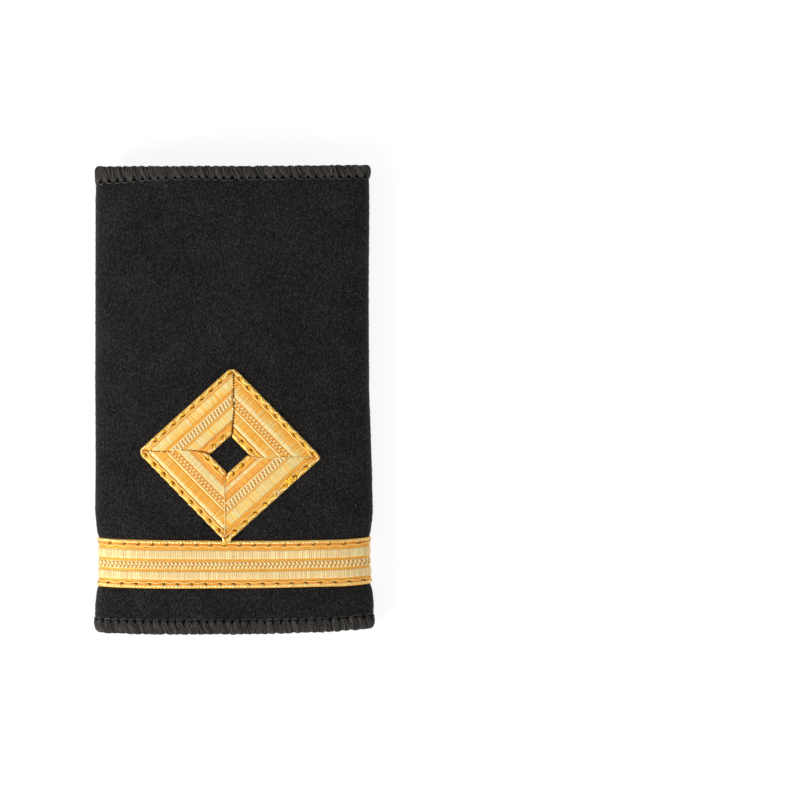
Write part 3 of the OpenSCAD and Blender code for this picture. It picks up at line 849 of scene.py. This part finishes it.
def front_face(x, y):
    """Height of the front's outer face over a place on it."""
    w = HALF_W * np.where(x > 0, outline(y, RIGHT), outline(y, LEFT)) - CLOTH_T / 2
    f = (np.abs(x) / w) ** FRONT_ARCH
    z = FRONT_RISE * outline(y, FRONT) * (1 - f) ** (1 / FRONT_ARCH)
    slope = z * f / (np.maximum(np.abs(x), 1e-3) * (1 - f))
    base = FOLD_Z + z
    return base + CLOTH_T / 2 * np.sqrt(1 + slope ** 2) + ripple(x, y, base)


def tip_lift(y):
    """How far the diamond's lowest tip climbs to lie on the stripe."""
    return (LACE_T + GAP) * smooth(1 - (y + STRIPE_Y - LACE_W / 2 - LACE_T) / TIP_CLIMB)


# The diamond's tips before it is turned, how near a tip its rounding begins, and the places across an
# arm where its mitres are given
TIPS = np.array([[0, DIAMOND_H / 2], [DIAMOND_W / 2, 0], [0, -DIAMOND_H / 2], [-DIAMOND_W / 2, 0]])
TURN = math.radians(DIAMOND_TURN)
TIP_ROUND = 1.3
MITRE_V = (-5, -1.2, 1.3, 3.6, 5)

UPPER_RIGHT, LOWER_RIGHT, LOWER_LEFT, UPPER_LEFT = range(4)


def trim_lower_right(lace, length, breadth):
    """What only the lower right arm has."""
    # Both its mitred ends lap over the neighbours
    v = np.linspace(-3.5, 4.2, 16)
    for end, out in ((0, -0.02), (1, 0.02)):
        lace.lay(join(lace.limits(v)[end] + out, v, 0.33)[None], 0.12 * ends(16, 0.5), WHEAT)
    # Its cord turns round the lowest tip, with its last hole inside it, dark brown as painted shade, and a
    # stitch over it. A step is (length past the arm's end, depth from its outer edge).
    for steps, h, radius, slot in (
            ([(-1.7, 0.40), (-1.1, 0.20), (-0.6, -0.06), (-0.25, -0.12), (0.08, 0.06), (0.05, 0.6),
              (-0.2, 1.2), (-0.42, 2.0)], 0.34, 0.22, SHINY),
            ([(-1.3, 0.86), (-0.8, 0.66), (-0.4, 0.60), (-0.2, 0.9)], 0.34, 0.20, GROUND),
            ([(-1.38, 1.05), (-1.13, 1.03), (-0.88, 1.00)], 0.44, 0.17, HOLE_AND_FOLD_SHADE),
            ([(-0.35, 0.10), (-0.05, -0.02), (0.25, 0.02), (0.48, 0.16), (0.62, 0.34)], 0.38, 0.25,
             STITCH)):
        u, depth = np.array(steps).T
        path = join(length + u, (depth / breadth - 0.5) * 10, h)
        lace.lay(path[None], radius * ends(len(u), 0.6), slot, 8)
    # A knot of crossing stitches and a loose loop on its outer edge
    t = np.linspace(0, 1, 7)
    for u0, v0, u1, v1 in ((7.1, -3.4, 9.0, -4.6), (7.2, -4.5, 9.1, -3.5), (7.9, -3.2, 8.2, -4.9),
                           (7.1, -3.9, 9.4, -4.1), (8.7, -3.3, 7.8, -4.8), (7.4, -3.3, 7.5, -4.6)):
        path = join(u0 + (u1 - u0) * t, v0 + (v1 - v0) * t, 0.26 + 0.16 * np.sin(np.pi * t))
        lace.lay(path[None], 0.15 * ends(7, 0.6), STITCH)
    loop_u, loop_v = 11.75, -4.22
    q = np.linspace(-0.6, 5.4, 20)
    loop = join(loop_u + 0.46 * np.cos(q), loop_v + 0.44 * np.sin(q), 0.42 + 0.03 * np.sin(2 * q))
    lace.lay(loop[None], 0.13 * ends(20, 0.5), PALE)
    # Amber in the loop's eye: painted shade.
    t = np.linspace(-1, 1, 5)
    lace.lay(join(loop_u + 0.26 * t, loop_v, 0.34)[None], 0.24 * LENTIL, AMBER_SHADE, 8, 0.3)


def arm(k, name, node, width, rows, middle, weave, mitres):
    """One mitred length of lace along a side of the diamond, clockwise from tip k. Its edge v = -5 lies
    outside. width is its share of the full width. mitres gives, for its first and then its second end,
    how fully its outer corner is rounded and how far it stops short of the mitre at each of MITRE_V's
    places across it."""
    a, b = TIPS[k], TIPS[(k + 1) % 4]
    length = float(np.linalg.norm(b - a))
    e1 = (b - a) / length
    e2 = np.array([e1[1], -e1[0]])
    depth_full = abs(float(a @ e2))
    slope_a, slope_b = abs(float(a @ e1)) / depth_full, abs(float(b @ e1)) / depth_full

    def depth_at(v):
        return (v / 10 + 0.5) * DIAMOND_LACE_W * width

    def span(v):
        short = [float(np.interp(v, MITRE_V, stops)) for _, stops in mitres]
        return slope_a * depth_at(v) + short[0], length - slope_b * depth_at(v) - short[1]

    def place(p):
        u, depth = p[..., 0], depth_at(p[..., 1])
        for near, full in ((u, mitres[0][0]), (length - u, mitres[1][0])):
            bend = np.clip(1 - near / TIP_ROUND, 0, 1)
            depth = depth + TIP_ROUND * full * (1 - np.sqrt(1 - bend ** 2)) * smooth(1 - depth / 2.5)
        q = a + u[..., None] * e1 + depth[..., None] * e2
        x = q[..., 0] * math.cos(TURN) + q[..., 1] * math.sin(TURN) - DIAMOND_X
        y = q[..., 1] * math.cos(TURN) - q[..., 0] * math.sin(TURN) - DIAMOND_Y
        return join(x, y, front_face(x, y) + GAP + tip_lift(y) + p[..., 2])

    lace = Lace(place, span, rows, middle, (0.20, 0.145, 0.115, 0.9), True, 0.05, weave, True)
    # A dark thread in the fold of each mitre: painted shade
    v = np.linspace(-CROSS_V, CROSS_V, 14)
    for end, out, dark in ((0, -0.03, k == UPPER_RIGHT), (1, 0.03, k in (LOWER_LEFT, UPPER_LEFT))):
        path = join(lace.limits(v)[end] + out, v, 0.15)
        lace.lay(path[None], 0.13 * ends(14, 0.5), HOLE_AND_FOLD_SHADE if dark else GOLD_PAINTED_SHADE)
    if k == LOWER_RIGHT:
        trim_lower_right(lace, length, DIAMOND_LACE_W * width)
    obj = lace.shape.build(name, GOLDS, "gold_lace")
    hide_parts(node)
    return obj


# The herringbone as it catches the light: dots in a row on two of the arms, slanted stitches on the others
DOTS, SLANTED = (0.10, 0.57), (0.0, 0.70)

# Each arm's band tones are partly painted light: peach on the upper right and lower left, whose wires run
# along the light, is painted shade, and their ivory border strips are painted highlight; on the lower right
# the cream strip at the inner border is painted highlight and the amber painted shade.
arms = [
    arm(UPPER_RIGHT, "lace_upper_right", "diamond_upper_right", 0.99,
        [(4.57, 4.14, 3.74, [(3.40, 2.50, PEACH), (2.50, 1.78, SAND), (1.78, 1.00, IVORY_HIGHLIGHT)], 2.80, 2.69),
         (4.48, 4.01, 3.55, [(3.12, 2.52, IVORY_HIGHLIGHT), (2.52, 0.96, PEACH)], 12.26, 2.65)],
        -0.28, (0.852, 0.43, (0.1, 0.1), DOTS, 0.80),
        [(0.9, (0.42, 0.75, 1.03, 0.80, 0.50)), (0.5, (0.06, -0.15, -0.53, -0.80, 0.0))]),
    arm(LOWER_RIGHT, "lace_lower_right", "diamond_lower_right", 1.02,
        [(4.54, 4.14, 3.74, [(2.95, 0.88, WHEAT)], 3.83, 2.78),
         (4.50, 4.02, 3.55, [(3.08, 2.42, PALE), (2.42, 1.18, AMBER_SHADE)], 13.12, 2.66)],
        0.15, (0.81, 0.0, (0.27, -0.27), SLANTED, 0.86),
        [(0.5, (0.02, 0.23, 0.61, 0.82, 0.02)), (0.2, (-0.64, -0.64, -1.0, -1.3, -0.64))]),
    arm(LOWER_LEFT, "lace_lower_left", "diamond_lower_left", 0.98,
        [(4.57, 4.14, 3.74, [(3.32, 2.72, IVORY_HIGHLIGHT), (2.72, 1.05, PEACH)], 3.07, 2.69),
         (4.48, 4.03, 3.68, [(2.85, 2.45, PEACH), (2.45, 1.05, IVORY_HIGHLIGHT)], 12.40, 2.65)],
        0.27, (0.852, 0.43, (0.1, 0.1), DOTS, -0.70),
        [(0.2, (0.74, 0.74, 1.1, 1.4, 0.74)), (0.9, (-0.30, -0.35, -0.90, -0.95, -0.02))]),
    arm(UPPER_LEFT, "lace_upper_left", "diamond_upper_left", 1.0,
        [(4.52, 4.12, 3.74, [(3.42, 2.30, WHEAT), (2.30, 1.58, SAND)], 1.60, 2.57),
         (4.47, 3.99, 3.50, [(2.85, 1.02, WHEAT)], 12.38, 2.65)],
        -0.18, (0.79, 0.0, (0.27, -0.27), SLANTED, -0.87),
        [(0.9, (0.42, 0.47, 1.02, 1.02, 0.06)), (0.9, (-0.20, -0.53, -0.81, -0.58, -0.30))])]


# ---- Seams, loose ends and fuzz ----

# Where the seams end, how many long ends are left, how many fibres are tried, and how far these keep
# from the stripe's middle and, as shares of the half width, from the diamond's sides
SEAM_END, LONG_ENDS = 44.2, 8
FIBRES, STRIPE_CLEAR, RING_OUTER, RING_INNER = 11000, 5.6, 1.07, 0.14


def cloth_place(p):
    return over(angle_at(p[..., 0]), p[..., 1], CLOTH_T / 2 + p[..., 2])


def seams():
    shape = Shape()
    t = np.linspace(0, 1, 6)
    for seam, pitch, swing, twice in ((SEAM_LAP, 2.1, 0.22, True), (SEAM_UNDER, 3.0, 0.10, False)):
        y = np.arange(-SEAM_END, SEAM_END, pitch)
        for k, half in enumerate((-1, 1) if twice else (0,)):
            yy = y[:, None] + (pitch * 0.86) * t + k * pitch * 0.45
            ss = back_arc(np.interp(yy, seam[:, 0], seam[:, 1]))
            ss = (ss + half * 0.30 + swing * (t - 0.5) * (1 if k else -1)
                  + rng.uniform(-0.05, 0.05, (len(y), 1)))
            hh = -0.20 + 0.22 * np.sin(np.pi * t) ** 0.7
            shape.tubes(cloth_place(tube(join(ss, yy, hh), 0.115 * ends(6, 0.6), 5)))
    # Long ends left at the foot of the lap's seam
    t = np.linspace(0, 1, 12)
    for x, drift, top, low in zip(rng.uniform(11.6, 13.4, LONG_ENDS), rng.uniform(-1.0, 0.9, LONG_ENDS),
                                  rng.uniform(-34.5, -31.5, LONG_ENDS), rng.uniform(-44, -41, LONG_ENDS)):
        s = back_arc(x + drift * t + 0.25 * np.sin(7 * t + x * 3))
        path = join(s, top + (low - top) * t, 0.10 + 0.16 * np.sin(np.pi * t))
        shape.tubes(cloth_place(tube(path[None], 0.10 * ends(12, 0.5), 5)))
    return shape.build("back_seams", [SEAM], "overlock_thread")


def fuzz():
    """Short stray fibres over the wool, clear of the lace."""
    s = rng.uniform(S_UNDER + 18, S_FLAP - 1.2, FIBRES)
    y = rng.uniform(-45.2, 44.6, FIBRES)
    a = angle_at(s)
    x = middle(a, y)[:, 0]
    on_stripe = (np.abs(y - run_y(a, 0.0)) < STRIPE_CLEAR) & (a > STRIPE_FIRST - 4) & (a < STRIPE_LAST + 4)
    cx, cy = x + DIAMOND_X, y + DIAMOND_Y
    ring = np.abs(cx) / (DIAMOND_W / 2) + np.abs(cy) / (DIAMOND_H / 2)
    on_diamond = (a > 0) & (a < 180) & (ring < RING_OUTER) & (ring > RING_INNER)
    keep = ~(on_stripe | on_diamond)
    s, y, n = s[keep], y[keep], int(keep.sum())
    turn, size = np.pi / 2 + rng.normal(0, 0.6, n), rng.uniform(0.4, 1.3, n)
    bend = rng.uniform(-0.3, 0.3, n) * size
    along = size[:, None] * np.array([-0.5, 0.05, 0.5])
    side = bend[:, None] * np.array([0.0, 1.0, 0.0])
    su = s[:, None] + along * np.cos(turn)[:, None] - side * np.sin(turn)[:, None]
    yu = y[:, None] + along * np.sin(turn)[:, None] + side * np.cos(turn)[:, None]
    hu = np.stack([np.full(n, -0.02), rng.uniform(0.03, 0.12, n), rng.uniform(-0.02, 0.16, n)], -1)
    shape = Shape()
    radius = rng.uniform(0.014, 0.030, n)[:, None] * np.array([0.5, 1.0, 0.4])
    shape.tubes(cloth_place(tube(join(su, yu, hu), radius, 3)))
    return shape.build("wool_fuzz", [FUZZ], "wool_cloth")


sewing = seams()
fibres = fuzz()


# ---- Floor, light and camera ----

# Half the floor's side, in millimetres. The rest of this section is in metres. The picture shows
# HALF_VIEW to each side of VIEW_MIDDLE at the height VIEW_Z.
FLOOR_HALF, FLOOR_ROWS = 2500, 24
VIEW_MIDDLE, VIEW_Z, HALF_VIEW, LENS, SENSOR = (0.0340, -0.0001), 0.0060, 0.0818, 360, 36


def sweep():
    t = Tree("white_paper", Roughness=0.9, Specular_IOR_Level=0.1, Emission_Strength=0.85,
             Emission_Color=(1, 1, 1, 1))
    t.colour(t.ramp(t.noise(0.02), (0.2, (0.20, 0.20, 0.20)), (0.8, (0.22, 0.22, 0.22))))
    q = np.linspace(-FLOOR_HALF, FLOOR_HALF, FLOOR_ROWS)
    shape = Shape()
    shape.grid(join(q[:, None], q, 0.0), flip=True)
    mesh = bpy.data.meshes.new("floor")
    mesh.from_pydata((shape.points[0] / 1000).tolist(), [], shape.faces[0].tolist())
    mesh.materials.append(t.material)
    obj = put("floor", mesh)


def lamp(name, place, size, power):
    """A round lamp that faces the board."""
    light = bpy.data.lights.new(name, "AREA")
    light.shape = "DISK"
    light.size, light.energy = size, power
    obj = put(name, light)
    obj.location = place
    obj.rotation_mode = "QUATERNION"
    obj.rotation_quaternion = (-Vector(place)).to_track_quat("-Z", "Y")
    obj.visible_camera = False


sweep()
lamp("key", place=(-0.425, -0.275, 0.350), size=0.40, power=3.5)

scene = bpy.context.scene
world = bpy.data.worlds.new("studio")
world.use_nodes = True
set_inputs(world.node_tree.nodes["Background"], {"Color": (1, 1, 1, 1), "Strength": 0.66})
scene.world = world
scene.view_settings.view_transform = "Standard"

camera = bpy.data.cameras.new("camera")
camera.sensor_width, camera.lens = SENSOR, LENS
camera.clip_start, camera.clip_end = 0.01, 20
eye = put("camera", camera)
eye.location = (*VIEW_MIDDLE, VIEW_Z + HALF_VIEW * LENS / (SENSOR / 2))
scene.camera = eye

bpy.context.view_layer.update()
